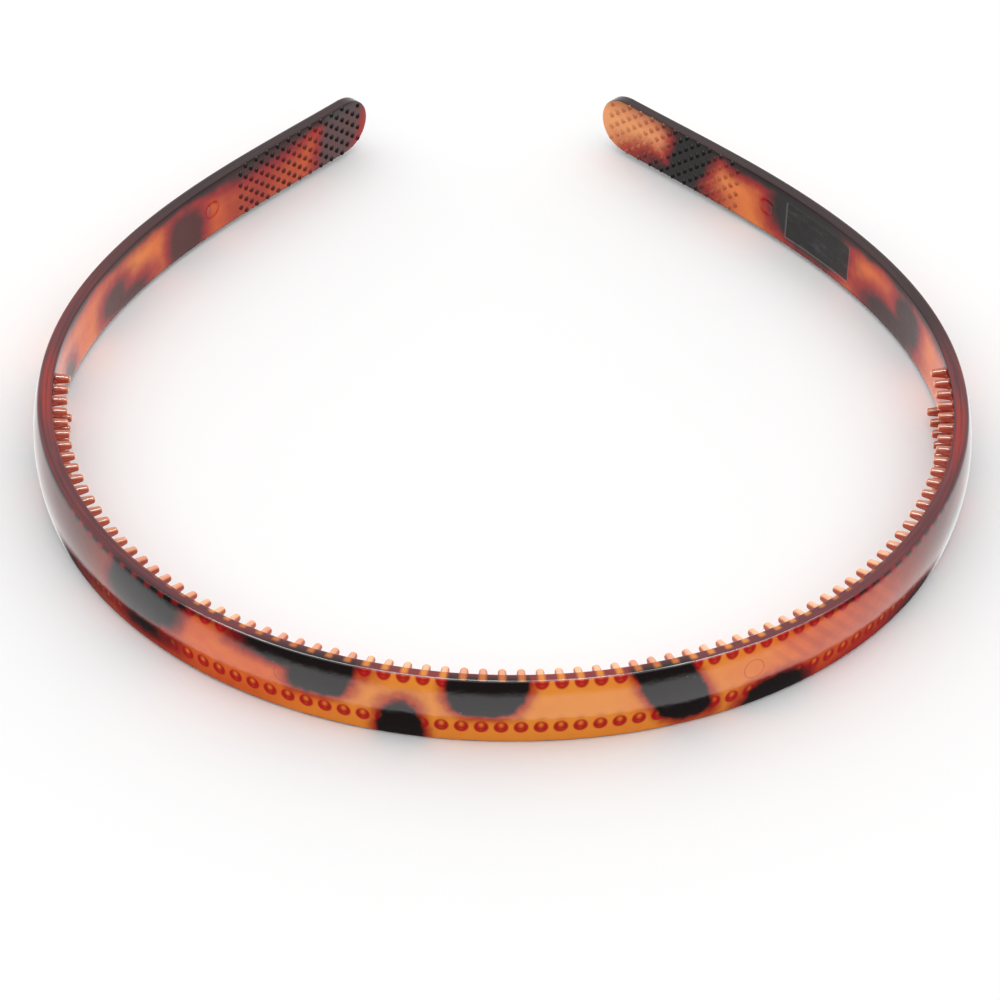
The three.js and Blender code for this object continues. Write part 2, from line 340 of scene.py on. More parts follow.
def section(line, sizes, along):
    """The closed section at one place: arrays of out and up, and the face each stretch is on."""
    half = float(line.width(along)) / 2
    rim = float(line.rim(along))
    inner_round = sizes.inner_round / MM
    outer_round = sizes.outer_round / MM
    outer_edge = half - outer_round
    on_dome = rim + line.dome * (1 - (outer_edge / half) ** 2)
    flat = [(0.0, up) for up in INNER_LINES]
    bend = [
        (inner_round * (1 - math.cos(a)), half - inner_round * (1 - math.sin(a)))
        for a in np.linspace(0, math.pi / 2, BEND_POINTS)
    ]
    across_rim = np.linspace(inner_round, rim - outer_round, EDGE_POINTS)
    edge = [(out, half) for out in across_rim[1:-1]]
    turn = []
    for t in np.linspace(0, 1, TURN_POINTS):
        out = (1 - t) ** 2 * (rim - outer_round) + 2 * t * (1 - t) * rim + t * t * on_dome
        up = (1 - t) ** 2 * half + 2 * t * (1 - t) * half + t * t * outer_edge
        turn.append((out, up))
    dome = [
        (rim + line.dome * (1 - (up / half) ** 2), up)
        for up in np.linspace(outer_edge, 0, DOME_POINTS)[1:]
    ]
    upper = flat + bend + edge + turn + dome
    lower = [(out, -up) for out, up in reversed(upper[1:-1])]
    on_inner = len(flat) + len(bend) // 2
    on_outer = len(dome) + len(turn) // 2
    on_rim = len(upper) - 1 - on_inner - on_outer
    kinds = [INNER] * on_inner + [RIM] * on_rim + [OUTER] * on_outer
    out, up = np.array(upper + lower).T
    return out, up, kinds + kinds[::-1]


class LabelPanel:
    """The blank rectangular panel, let into the inner face of the right arm, in millimetres."""

    START, END = 131.4, 145.0
    LOW, HIGH = -3.3, 2.9

    # Rings of points lie at these distances from both ends, so that the step is crisp.
    EDGES = (-0.14, -0.035, 0.035, 0.14)

    @classmethod
    def inside(cls, along, up):
        """How far inside the panel's outline a place is, in millimetres; less than 0 is outside."""
        middle, level = (cls.START + cls.END) / 2, (cls.LOW + cls.HIGH) / 2
        short_of_end = (cls.END - cls.START) / 2 - np.abs(along - middle)
        return np.minimum(short_of_end, (cls.HIGH - cls.LOW) / 2 - np.abs(up - level))


def stations(start, end, spacing=0.6, short=0.03):
    """Distances from start to end, with short end steps so that neighbours meet smoothly."""
    count = max(2, round((end - start) / spacing))
    places = list(np.linspace(start, end, count + 1))
    return [places[0], places[0] + short, *places[1:-1], places[-1] - short, places[-1]]


# Rings of points round a quarter turn of the tip.
TIP_RINGS = 21


def skin(name, line, sizes, side, near, far, materials):
    """A stretch of the band's surface on one side. It goes round the tip if far is None."""
    at_tip = far is None
    centre = line.half_length - line.widths[1] / 2
    places = stations(near, centre if at_tip else far)
    panelled = at_tip and side > 0
    if panelled:
        edges = (LabelPanel.START, LabelPanel.END)
        places = sorted(places + [edge + gap for edge in edges for gap in LabelPanel.EDGES])
    rings = []
    for place in places:
        out, up, kinds = section(line, sizes, place)
        along = np.full(out.shape, place)
        if panelled:
            on_inner_face = out < 0.01
            sunk = (LabelPanel.inside(along, up) > 0) & on_inner_face
            out = out + np.where(sunk, sizes.panel_depth / MM, 0.0)
        rings.append((along, out, up))
    if at_tip:
        out, up, kinds = section(line, sizes, line.half_length)
        for angle in np.linspace(0, math.pi / 2, TIP_RINGS + 1)[1:]:
            along = centre + np.abs(up) * math.sin(angle)
            rings.append((along, out, up * math.cos(angle)))
    along = side * np.concatenate([r[0] for r in rings])
    out = np.concatenate([r[1] for r in rings])
    up = np.concatenate([r[2] for r in rings])
    around = len(kinds)
    faces = []
    for ring in range(len(rings) - 1):
        low = ring * around
        for i in range(around):
            j = (i + 1) % around
            face = (low + i, low + j, low + around + j, low + around + i)
            faces.append(face if side > 0 else face[::-1])
    face_kinds = kinds * (len(rings) - 1)
    points = line.place(along, out, up)
    marks = pattern_marks(line, along, up, out)
    piece = new_object(name, points, faces, face_kinds, materials, marks)
    if at_tip:
        weld(piece)
    return piece


def weld(piece):
    """Joins points at the same place, where rings close."""
    sheet = bmesh.new()
    sheet.from_mesh(piece.data)
    bmesh.ops.remove_doubles(sheet, verts=sheet.verts, dist=2e-7)
    sheet.to_mesh(piece.data)
    sheet.free()


# How much of its radius every other corner of a diamond shape keeps.
DIAMOND_WAIST = 0.78


def turned(profile, sides, diamond):
    """A closed shape turned about its own axis: points as (height, radius, angle) and its faces."""
    spots = [(profile[0][0], 0.0, 0.0)]
    for height, radius in profile:
        for k in range(sides):
            share = DIAMOND_WAIST if diamond and k % 2 else 1.0
            spots.append((height, radius * share, math.tau * k / sides))
    spots.append((profile[-1][0], 0.0, 0.0))
    last = len(spots) - 1
    faces = []
    for k in range(sides):
        after = (k + 1) % sides
        faces.append((0, 1 + after, 1 + k))
        for ring in range(len(profile) - 1):
            low = 1 + ring * sides
            faces.append((low + k, low + after, low + sides + after, low + sides + k))
        top = 1 + (len(profile) - 1) * sides
        faces.append((top + k, top + after, last))
    return np.array(spots), faces


def set_on_band(line, spots, along, up):
    """A turned shape set on the inner face, its axis pointing inwards: points, along and up."""
    height, radius, angle = spots.T
    ahead, above = radius * np.cos(angle), radius * np.sin(angle)
    inward, forward, upward = line.axes(along)
    offset = np.outer(height, inward) + np.outer(ahead, forward) + np.outer(above, upward)
    return line.place(along, 0, up) + offset * MM, along + ahead, up + above


def studded(name, line, profile, sides, studs, materials, diamond=False):
    """One mesh of turned shapes set on the inner face at (along, up) places."""
    spots, faces = turned(profile, sides, diamond)
    points, all_faces, alongs, ups, heights = [], [], [], [], []
    for along, up in studs:
        base = len(points) * len(spots)
        placed, flat_along, flat_up = set_on_band(line, spots, along, up)
        points.append(placed)
        alongs.append(flat_along)
        ups.append(flat_up)
        heights.append(spots[:, 0])
        all_faces += [tuple(base + i for i in face) for face in faces]
    along, up = np.concatenate(alongs), np.concatenate(ups)
    marks = pattern_marks(line, along, up, 0 * up)
    marks["height"] = np.concatenate(heights)
    return new_object(
        name, np.concatenate(points), all_faces, [0] * len(all_faces), materials, marks
    )


# ---- Shader writing ----


class Wire:
    """A node's output, so that shader maths reads as Python."""

    def __init__(self, tree, socket):
        self.tree = tree
        self.socket = socket

    def maths(self, operation, *others, flip=False):
        values = [self, *others]
        if flip:
            values.reverse()
        settings = {"operation": operation}
        return self.tree.node("ShaderNodeMath", settings, dict(enumerate(values))).out()

    def __add__(self, other):
        return self.maths("ADD", other)

    __radd__ = __add__

    def __sub__(self, other):
        return self.maths("SUBTRACT", other)

    def __rsub__(self, other):
        return self.maths("SUBTRACT", other, flip=True)

    def __mul__(self, other):
        return self.maths("MULTIPLY", other)

    __rmul__ = __mul__

    def __truediv__(self, other):
        return self.maths("DIVIDE", other)

    def __pow__(self, other):
        return self.maths("POWER", other)

    def __abs__(self):
        return self.maths("ABSOLUTE")

    def wave_distance(self, pitch):
        """Signed distance to the nearest middle of a pitch."""
        return ((self / pitch).maths("FRACT") - 0.5) * pitch

    def ramp(self, low, high, to_low=0.0, to_high=1.0):
        """A smooth step from low to high."""
        inputs = {
            "Value": self,
            "From Min": low,
            "From Max": high,
            "To Min": to_low,
            "To Max": to_high,
        }
        settings = {"interpolation_type": "SMOOTHSTEP"}
        return self.tree.node("ShaderNodeMapRange", settings, inputs).out()

    def between(self, start, full, fading, end):
        """A smooth step up from start to full, and down again from fading to end."""
        return self.ramp(start, full) * self.ramp(end, fading)


class Made:
    """A node that has just been made."""

    def __init__(self, tree, node):
        self.tree = tree
        self.node = node

    def out(self, key=0):
        return Wire(self.tree, self.node.outputs[key])


class Tree:
    """Writes nodes into a material or world."""

    def __init__(self, owner):
        owner.use_nodes = True
        self.nodes = owner.node_tree.nodes
        self.links = owner.node_tree.links
        self.nodes.clear()

    def node(self, kind, settings=None, inputs=None):
        node = self.nodes.new(kind)
        for key, value in (settings or {}).items():
            setattr(node, key, value)
        for key, value in (inputs or {}).items():
            socket = node.inputs[key]
            if isinstance(value, Wire):
                self.links.new(value.socket, socket)
            elif isinstance(value, tuple) and len(value) == 3 and socket.type == "RGBA":
                socket.default_value = (*value, 1.0)
            else:
                socket.default_value = value
        return Made(self, node)

    def mark(self, name):
        """A mesh attribute."""
        return self.node("ShaderNodeAttribute", {"attribute_name": name}).out("Fac")

    def mix(self, share, low, high):
        """A colour between two colours."""
        settings = {"data_type": "RGBA", "clamp_factor": True}
        inputs = {0: share, 6: low, 7: high}
        return self.node("ShaderNodeMix", settings, inputs).out(2)

    def join(self, x, y, z=0.0):
        """A vector of three numbers."""
        return self.node("ShaderNodeCombineXYZ", None, {0: x, 1: y, 2: z}).out()

    def noise(self, at, scale, detail=3.0, roughness=0.55):
        """Soft noise about a half."""
        inputs = {"Vector": at, "Scale": scale, "Detail": detail, "Roughness": roughness}
        return self.node("ShaderNodeTexNoise", None, inputs).out("Fac")

    def finish(self, inputs, bump=None, glow=0.0):
        """A glossy moulded surface, ending the tree. Glow is the light that comes through it."""
        if glow:
            inputs["Emission Color"] = inputs["Base Color"]
            inputs["Emission Strength"] = glow
        if bump is not None:
            shape = dict(zip(("Height", "Strength", "Distance"), bump))
            inputs["Normal"] = self.node("ShaderNodeBump", None, shape).out()
        surface = self.node("ShaderNodeBsdfPrincipled", None, inputs)
        self.node("ShaderNodeOutputMaterial", None, {"Surface": surface.out()})


# ---- Materials ----

# Places along, up and out, and distances from them, are in millimetres. Shares run from 0 to 1.


class Plastic(Tree):
    """The mottled plastic, with what each face of the band shows of it."""

    def __init__(self, name, colours, sizes):
        self.material = bpy.data.materials.new(name)
        super().__init__(self.material)
        self.colours = {key: tuple(getattr(colours, key)) for key in colours.__annotations__}
        self.pitch = sizes.tooth_pitch / MM
        self.comb_end = (sizes.teeth_per_side + 0.5) * self.pitch
        self.row = sizes.crown_width / MM / 2 - sizes.row_inset / MM
        self.mark_radius = sizes.mark_radius / MM
        self.along = self.mark("along")
        self.far = abs(self.along)
        self.up = self.mark("up")
        self.out_by = self.mark("out")
        self.edge = self.mark("edge")
        self.flat = self.join(self.along, self.up)
        self.cloud = self.noise(self.flat, 0.16, 3.0)
        self.fleck = self.noise(self.flat, 0.7, 3.0, 0.5)
        self.depth = self.mark("depth") + self.ragged(1.8, 0.9)
        softness = self.far.ramp(26.0, 44.0, 0.42, 1.15)
        self.blotch = (self.depth / softness).ramp(-1.0, 1.0)
        self.fringe = self.depth.ramp(-2.0, 0.2)

    def ragged(self, coarse, fine):
        """Noise about 0 that makes an edge ragged."""
        return (self.cloud - 0.5) * coarse + (self.fleck - 0.5) * fine

    def tint(self, share, base, name):
        """Lays one of the plastic's colours over another colour, by a share."""
        return self.mix(share, base, self.colours[name])

    def clear(self, lift=0.0):
        """The plastic's own colour away from the blotches."""
        lightness = self.mark("tone") + (self.cloud - 0.5) * 0.7 + lift
        low = self.tint(lightness.ramp(-0.7, 0.0), self.colours["deep"], "red")
        middle = self.tint(lightness.ramp(-0.15, 0.55), low, "orange")
        return self.tint(lightness.ramp(0.35, 1.0), middle, "amber")

    def paled(self, base):
        """A colour on the inner face, paler towards the right tip."""
        return self.tint(self.along.ramp(146.0, 174.0) * 0.42, base, "peach")

    def smoked(self, base):
        """A colour on the inner face, darkened along the upper edge where the rim shows through."""
        above = self.up.ramp(0.0, 1.0) * self.along.ramp(166.0, 172.0, 1.0, 0.35)
        wide = (self.edge - self.ragged(2.6, 0.8)).ramp(3.3, 0.9) * above
        base = self.mix(wide * 0.8, base, self.tint(0.25, self.colours["wine"], "deep"))
        close = (self.edge - (self.cloud - 0.5) * 2.2).ramp(1.7, 0.3) * above
        return self.tint(close * 0.95, base, "dark")

    def tooth_gap(self):
        """Distance along to the nearest tooth, and 1 where there is a comb."""
        from_tooth = (self.along + self.pitch / 2).wave_distance(self.pitch)
        combed = self.far.ramp(self.comb_end + 0.2, self.comb_end - 0.2)
        return from_tooth, combed

    def spot(self, from_tooth, level, radius, soft, tall=1.0):
        """1 inside a round spot at each tooth, at a height on the face."""
        high = (self.up - level) / tall
        reach = (from_tooth * from_tooth + high * high) ** 0.5
        return reach.ramp(radius + soft, radius - soft)

    def ring(self, at, level, gone, full):
        """1 on the outline of the round marks. It is gone and full at those distances from it."""
        from_mark = self.far - at
        above_mark = self.up - level
        reach = (from_mark * from_mark + above_mark * above_mark) ** 0.5
        return abs(reach - self.mark_radius).ramp(gone, full)

    def specks(self):
        """Fine dust, sparse."""
        inputs = {"Vector": self.flat, "Scale": 0.8, "Randomness": 1.0}
        near = self.node("ShaderNodeTexVoronoi", None, inputs).out("Distance")
        return near.ramp(0.055, 0.03) * self.cloud.ramp(0.5, 0.62)

    def polish(self, smoothest, dullest):
        """A roughness that wanders between two values."""
        return self.fleck.ramp(0.3, 0.8, smoothest, dullest)


# What lies on the inner face shows on the outer one nearer to mid-width and higher.
SEEN_NEARER = 0.93
SEEN_ABOVE = 1.5


def seen_roots(tree, base):
    """Tooth roots seen through the band: red rounds with a painted glint in the heart, a fainter
    painted glint below, and a halo above.
    """
    from_tooth, combed = tree.tooth_gap()
    for side in ROWS.values():
        level = side * tree.row * SEEN_NEARER + SEEN_ABOVE
        halo = tree.spot(from_tooth, level + 1.5, 0.35, 0.75)
        base = tree.tint(halo * combed * 0.28, base, "red")
        root = tree.spot(from_tooth, level, 0.93, 0.16, 1.15)
        base = tree.tint(root * combed * 0.96, base, "wine")
        # Painted highlights: an amber glint in each root's heart and a fainter orange one below it.
        glint = tree.spot(from_tooth, level + 0.4, 0.22, 0.34, 1.4)
        base = tree.tint(glint * combed * 0.95, base, "amber")
        low_glint = tree.spot(from_tooth, level - 0.55, 0.16, 0.34, 0.6)
        base = tree.tint(low_glint * combed * 0.4, base, "orange")
    return base


def outer_plastic(colours, sizes):
    """The domed outer face: tooth roots and ejector marks show through it."""
    tree = Plastic("mottled_outer", colours, sizes)

    # Low down, lighter at the crown and redder at the shoulders; faint streaks on the right.
    low = tree.up.ramp(-1.4, -4.2)
    at_crown = tree.far.ramp(44.0, 20.0)
    base = tree.tint(low * at_crown * 0.45, tree.clear(), "amber")
    reddened = low * tree.far.ramp(26.0, 50.0) * (1 - tree.fleck * 0.5)
    base = tree.tint(reddened * tree.along.ramp(-30.0, 30.0, 0.45, 0.75), base, "wine")
    slanted = (tree.along + tree.up * 0.9).wave_distance(tree.pitch)
    streak = abs(slanted).ramp(0.9, 0.2) * tree.up.ramp(-1.5, 0.5)
    base = tree.tint(streak * tree.along.between(30.0, 38.0, 54.0, 64.0) * 0.3, base, "red")
    base = tree.tint(tree.fringe * 0.8, base, "red")

    # What the inner face holds, seen through.
    base = seen_roots(tree, base)
    ring = tree.ring(sizes.mark_at / MM, SEEN_ABOVE, 0.16, 0.02)
    base = tree.tint(ring * 0.45, base, "wine")

    # Deeper over the sides, where little light comes through, then the blotches.
    at_sides = tree.far.between(46.0, 70.0, 102.0, 112.0)
    base = tree.tint(at_sides * (1 - low * 0.5) * 0.9, base, "deep")
    under = tree.up.ramp(-2.6, -4.8) * tree.along.ramp(36.0, 46.0)
    base = tree.tint(under * 0.6, base, "wine")
    base = tree.tint(tree.depth.ramp(-1.3, 0.0) * 0.5, base, "wine")
    base = tree.tint(tree.blotch, base, "dark")

    # A painted dark reflection along the upper corner, broken by the teeth, and dust over all.
    corner = tree.edge.ramp(0.9, 0.3) * tree.up.ramp(0.0, 1.0)
    corner = corner * tree.far.between(34.0, 48.0, 86.0, 98.0)
    base = tree.tint(corner * 0.9, base, "dark")
    from_tooth, _ = tree.tooth_gap()
    over_tooth = abs(from_tooth).ramp(0.8, 0.2) * tree.far.ramp(76.0, 66.0)
    base = tree.tint(corner * over_tooth * 0.5, base, "wine")
    base = tree.tint(tree.specks() * 0.5, base, "floor")
    tree.finish(
        {
            "Base Color": base,
            "Roughness": tree.polish(0.04, 0.11),
            "IOR": 1.54,
            "Coat Weight": 0.3,
            "Coat Roughness": 0.03,
        },
        bump=(tree.cloud + tree.noise(tree.flat, 2.2, 2.0) * 0.1, 0.35, 0.0002),
        glow=0.15,
    )
    return tree.material


def rim_plastic(colours, sizes):
    """The rims: darker, lined lengthwise, with a light column over each tooth."""
    tree = Plastic("mottled_rim", colours, sizes)

    # Redder at the crown and in two patches at the temples, nearly black in the arms.
    streaks = tree.noise(tree.join(tree.along * 0.15, tree.out_by * 2.2, tree.up), 1.0, 3.0)
    reddish = streaks.ramp(0.35, 0.8) * 0.4 + tree.far.ramp(22.0, 12.0) * 0.45
    base = tree.tint(reddish, tree.colours["mauve"], "red")
    mid_rim = 0.85
    in_middle = abs(tree.out_by - mid_rim).ramp(mid_rim, 0.25)
    right_patch = tree.along.between(72.0, 84.0, 88.0, 96.0)
    left_patch = tree.along.between(-108.0, -98.0, -93.0, -84.0)
    base = tree.tint((right_patch + left_patch) * in_middle * 0.9, base, "red")
    arms = tree.along.ramp(98.0, 112.0) * 0.92 + tree.along.ramp(-104.0, -150.0) * 0.92
    base = tree.tint(arms, base, "dark")

    # The blotches' shade, which keeps off the inner edge, and the columns.
    clear_by = tree.out_by - tree.far.ramp(24.0, 40.0)
    shadow = tree.blotch * tree.far.ramp(70.0, 58.0) * clear_by.ramp(-0.6, 1.3)
    base = tree.tint(shadow, base, "dark")
    from_tooth, combed = tree.tooth_gap()
    column = abs(from_tooth).ramp(0.72, 0.15) * combed
    reach = (tree.far * -0.022 + 1.55 - tree.out_by).ramp(-0.25, 0.3)
    column_colour = tree.tint(tree.blotch * 0.4, tree.colours["amber"], "red")
    base = tree.mix(column * reach * tree.far.ramp(66.0, 40.0) * 0.9, base, column_colour)

    # Fine lines along the rim, beyond the crown.
    lengthwise = tree.join(tree.along * 0.03, tree.out_by * 1.5, tree.up * 0.3)
    lines = tree.noise(lengthwise, 1.8, 3.0, 0.7)
    base = tree.tint(lines.ramp(0.42, 0.62) * tree.far.ramp(30.0, 60.0) * 0.6, base, "deep")
    tree.finish(
        {
            "Base Color": base,
            "Roughness": lines.ramp(0.3, 0.7, 0.1, 0.22),
            "IOR": 1.5,
            "Specular IOR Level": 0.35,
        },
        bump=(lines, 0.3, 0.0001),
    )
    return tree.material


def arm_mark_at(sizes):
    """Distance along the band to the ejector marks in the arms, in millimetres."""
    whole = sizes.crown_run + sizes.side_run + sizes.ease_run + sizes.tip_run
    return (whole - sizes.grip_edge - sizes.grip_length) / MM - GRIP_TO_MARK


def inner_plastic(colours, sizes):
    """The flat inner face, dark along its upper edge where the rim is seen through it."""
    tree = Plastic("mottled_inner", colours, sizes)

    # The clear plastic, hazed red round the blotches, with the marks in the arms.
    haze = tree.depth.ramp(-3.2, -0.4)
    base = tree.tint(haze * 0.9, tree.paled(tree.clear(-0.1)), "red")
    from_tooth, combed = tree.tooth_gap()
    roots = abs(from_tooth).ramp(0.4, 1.1) * combed * 0.35
    base = tree.tint(roots, base, "red")
    base = tree.tint(tree.depth.ramp(-1.8, 0.1) * 0.8, base, "wine")
    # A wine ring round each arm mark, strongest on the left: partly the mark's own red, partly
    # painted shade of its raised rim.
    ring = tree.ring(arm_mark_at(sizes), 0.0, 0.24, 0.06) * tree.fleck.ramp(0.35, 0.55, 0.4, 1.0)
    base = tree.tint(ring * tree.along.ramp(100.0, -100.0, 0.1, 0.75), base, "wine")
    base = tree.smoked(base)

    # The panel, darkened by a painted dark reflection, and the blotches; the one at the left tip is
    # greyed by a painted reflection.
    panel = tree.mark("panel")
    in_panel = panel.ramp(-0.03, 0.05)
    base = tree.tint(in_panel * 0.9, base, "dark")
    cover = tree.along.ramp(-112.0, -100.0, 0.83, 0.92) + tree.along.ramp(126.0, 138.0) * 0.08
    base = tree.tint(tree.blotch * cover, base, "dark")
    tip_grey_reflection = tree.blotch * tree.along.ramp(-164.0, -174.0)
    base = tree.tint(tip_grey_reflection * 0.045, base, "floor")

    # A painted streaky reflection and a painted highlight round the panel's edge, and a dark line
    # along both edges.
    streaky_reflection = tree.noise(tree.join(tree.along * 0.35, tree.up), 0.9, 3.0).ramp(0.5, 0.75)
    base = tree.tint(streaky_reflection * in_panel * 0.03, base, "floor")
    panel_highlight = abs(panel).ramp(0.15, 0.03)
    base = tree.tint(panel_highlight * 0.12, base, "floor")
    outline = tree.edge.ramp(0.3, 0.05)
    base = tree.tint(outline * 0.6, base, "deep")
    tree.finish(
        {
            "Base Color": base,
            "Roughness": tree.polish(0.14, 0.24) + in_panel * 0.12,
            "IOR": 1.5,
            "Specular IOR Level": 0.22,
        },
        bump=(tree.cloud + tree.noise(tree.flat, 3.0, 2.0) * 0.2, 0.3, 0.0002),
        glow=0.12,
    )
    return tree.material


def tooth_plastic(colours, sizes):
    """The teeth: thin, so clear and light, with painted shade that makes them redder on their
    flanks and darker round their outlines at the sides.
    """
    tree = Plastic("tooth_plastic", colours, sizes)
    from_tooth, _ = tree.tooth_gap()
    pale = tree.mark("height").ramp(-0.2, 0.7) * tree.far.ramp(100.0, 62.0, 0.48, 1.0)
    base = tree.tint(pale, tree.clear(0.1), "peach")
    base = tree.tint(tree.blotch * 0.3, base, "wine")
    # Painted shade: redder on each tooth's flanks, and darker round its upper and lower outline
    # where the teeth are seen from the side.
    flank = abs(from_tooth).ramp(0.26, 0.54)
    base = tree.tint(flank * 0.85, base, "red")
    off_axis = abs(tree.edge - sizes.row_inset / MM)
    outline = off_axis.ramp(0.3, 0.56) * tree.far.ramp(50.0, 72.0)
    base = tree.mix(outline * 0.65, base, tree.tint(0.5, tree.colours["red"], "deep"))
    tree.finish(
        {
            "Base Color": base,
            "Roughness": tree.polish(0.06, 0.12),
            "IOR": 1.5,
            "Subsurface Weight": 0.3,
            "Subsurface Radius": (0.0010, 0.0003, 0.0001),
            "Subsurface Scale": 1.0,
        },
        glow=0.12,
    )
    return tree.material


def grip_plastic(colours, sizes):
    """The grip's dots, made darker than the face they stand on by painted shade."""
    tree = Plastic("grip_dot_plastic", colours, sizes)
    # Painted shade on the dots, strongest where the plastic is red and again towards each dot's
    # top.
    shade = tree.mark("tone").ramp(0.25, 0.95, 0.55, 0.1)
    base = tree.tint(tree.fringe * 0.75, tree.paled(tree.clear(-0.25)), "red")
    base = tree.smoked(tree.tint(shade, base, "deep"))
    base = tree.tint(tree.blotch, base, "dark")
    base = tree.tint(tree.mark("height").ramp(0.1, 0.26) * shade, base, "dark")
    tree.finish(
        {
            "Base Color": base,
            "Roughness": tree.polish(0.4, 0.5),
            "IOR": 1.5,
            "Specular IOR Level": 0.25,
        }
    )
    return tree.material


# ---- Operators ----

# Corners round each turned shape.
TOOTH_SIDES = 14
DOT_SIDES = 8
MARK_SIDES = 40


class Piece:
    """What every piece's operator shares."""

    bl_options = {"REGISTER", "UNDO"}

    def start(self, context):
        self.sizes = context.scene.headband_sizes
        self.colours = context.scene.headband_colours
        self.line = BandLine(self.sizes)
        self.flex = [BandLine.flex_at(self.sizes, teeth) for teeth in FLEX_TEETH]
        self.flex.append(BandLine.flex_at(self.sizes, self.sizes.teeth_per_side) + PAST_COMB)
        self.seams = [(a + b) / 2 for a, b in zip(self.flex, self.flex[1:])]

    def across(self, piece, side, zone):
        """Bakes a piece's transform into its points; the ends it finds round the flex line between
        two zones go unused.
        """
        middle = side * self.flex[zone]
        start = tuple(self.line.place(middle - side * FLEX_REACH, 0, 0))
        end = tuple(self.line.place(middle + side * FLEX_REACH, 0, 0))
        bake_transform(piece)


class HEADBAND_OT_band(Piece, Operator):
    """Adds the band's skin in six stretches, each lying over one flex line"""

    bl_idname = "headband.add_band"
    bl_label = "Add Band"

    def execute(self, context):
        self.start(context)
        materials = [
            inner_plastic(self.colours, self.sizes),
            rim_plastic(self.colours, self.sizes),
            outer_plastic(self.colours, self.sizes),
        ]
        cuts = [0.0, *self.seams, None]
        zones = ("crown", "shoulder", "temple", "arm")
        for hand, side in SIDES.items():
            for zone, part in enumerate(("crown", "side", "arm")):
                near, far = cuts[zone:zone + 2]
                piece = skin(
                    f"{hand}_{part}_skin", self.line, self.sizes, side, near, far, materials
                )
                self.across(piece, side, zone)
                for name in zones[zone:zone + 2]:
                    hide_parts("crown_band" if name == "crown" else f"{hand}_{name}_band")
        return {"FINISHED"}


class HEADBAND_OT_comb(Piece, Operator):
    """Adds the two rows of teeth, in stretches along the band"""

    bl_idname = "headband.add_comb"
    bl_label = "Add Comb"

    def execute(self, context):
        self.start(context)
        materials = [tooth_plastic(self.colours, self.sizes)]
        pitch = self.sizes.tooth_pitch / MM
        count = self.sizes.teeth_per_side
        cuts = [0.0, *self.seams, self.line.half_length]
        inset = self.sizes.row_inset / MM
        profile = tooth_profile(self.sizes)
        for hand, side in SIDES.items():
            # The middle tooth belongs to the right side.
            places = [i * pitch for i in range(side < 0, count + 1)]
            for row, level in ROWS.items():
                for zone, part in enumerate(("crown", "side", "temple")):
                    studs = [
                        (side * at, level * (self.line.width(at) / 2 - inset))
                        for at in places
                        if cuts[zone] <= at < cuts[zone + 1]
                    ]
                    name = f"{hand}_{part}_{row}_teeth"
                    piece = studded(name, self.line, profile, TOOTH_SIDES, studs, materials)
                    self.across(piece, side, zone)
                    for body in ("crown", "shoulder", "temple")[zone:zone + 2]:
                        node = body if body == "crown" else f"{hand}_{body}"
                        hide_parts(f"{node}_{row}_comb")
        return {"FINISHED"}


def tooth_profile(sizes):
    """Heights and radii of a tooth, from inside the band to its round end, in millimetres."""
    reach = sizes.tooth_reach / MM
    flat_end, rounding = 0.2, 0.36
    root = [(-0.25, 0.98), (0.0, 0.95), (0.06, 0.84), (0.16, 0.76), (0.4, 0.71)]
    shaft = [(reach * 0.5, 0.64), (reach - rounding, flat_end + rounding)]
    end = [
        (reach - rounding + rounding * math.sin(a), flat_end + rounding * math.cos(a))
        for a in (0.3, 0.6, 0.9, 1.2, 1.45)
    ]
    return root + shaft + end


class HEADBAND_OT_grips(Piece, Operator):
    """Adds the fields of raised dots inside both tips"""

    bl_idname = "headband.add_grips"
    bl_label = "Add Grips"

    def execute(self, context):
        self.start(context)
        materials = [grip_plastic(self.colours, self.sizes)]
        radius = self.sizes.dot_radius / MM
        height = self.sizes.dot_height / MM
        profile = [
            (-0.1, radius), (0.0, radius), (height * 0.4, radius * 0.8),
            (height * 0.8, radius * 0.48), (height, radius * 0.2),
        ]
        for hand, side in SIDES.items():
            studs = [(side * along, up) for along, up in self.dots()]
            name = f"{hand}_tip_dots"
            piece = studded(name, self.line, profile, DOT_SIDES, studs, materials, diamond=True)
            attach(piece, f"{hand}_arm")
            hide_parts(f"{hand}_tip_grip")
        return {"FINISHED"}

    def dots(self):
        """Places of the staggered dots, kept inside the tip's round."""
        clear_edge = 0.3
        half = self.sizes.tip_width / MM / 2 - clear_edge
        centre = self.line.half_length - self.sizes.tip_width / MM / 2
        start = self.line.half_length - self.sizes.grip_edge / MM - self.sizes.grip_length / MM
        column_pitch, row_pitch = self.sizes.dot_column / MM, self.sizes.dot_row / MM
        rows = math.floor(half / row_pitch)
        for column in range(1, math.floor(self.sizes.grip_length / MM / column_pitch)):
            along = start + column * column_pitch
            for row in range(-rows, rows + 1):
                past = max(0.0, along - centre)
                if (column + row) % 2 == 0 and math.hypot(past, row * row_pitch) <= half:
                    yield along, row * row_pitch


class HEADBAND_OT_marks(Piece, Operator):
    """Adds the round marks that the mould's ejector pins leave on the inner face"""

    bl_idname = "headband.add_marks"
    bl_label = "Add Mould Marks"

    def execute(self, context):
        self.start(context)
        materials = [inner_plastic(self.colours, self.sizes)]
        radius = self.sizes.mark_radius / MM
        profile = [
            (-0.1, radius + 0.09), (0.0, radius + 0.08), (0.045, radius + 0.03),
            (0.045, radius - 0.03), (0.004, radius - 0.08), (0.004, radius * 0.5),
        ]
        marks = {"shoulder": self.sizes.mark_at / MM, "arm": arm_mark_at(self.sizes)}
        for hand, side in SIDES.items():
            for body, at in marks.items():
                name = f"{hand}_{body}_mark"
                studs = [(side * at, 0.0)]
                piece = studded(name, self.line, profile, MARK_SIDES, studs, materials)
                if body == "arm":
                    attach(piece, f"{hand}_arm")
                else:
                    self.across(piece, side, 0)
        return {"FINISHED"}


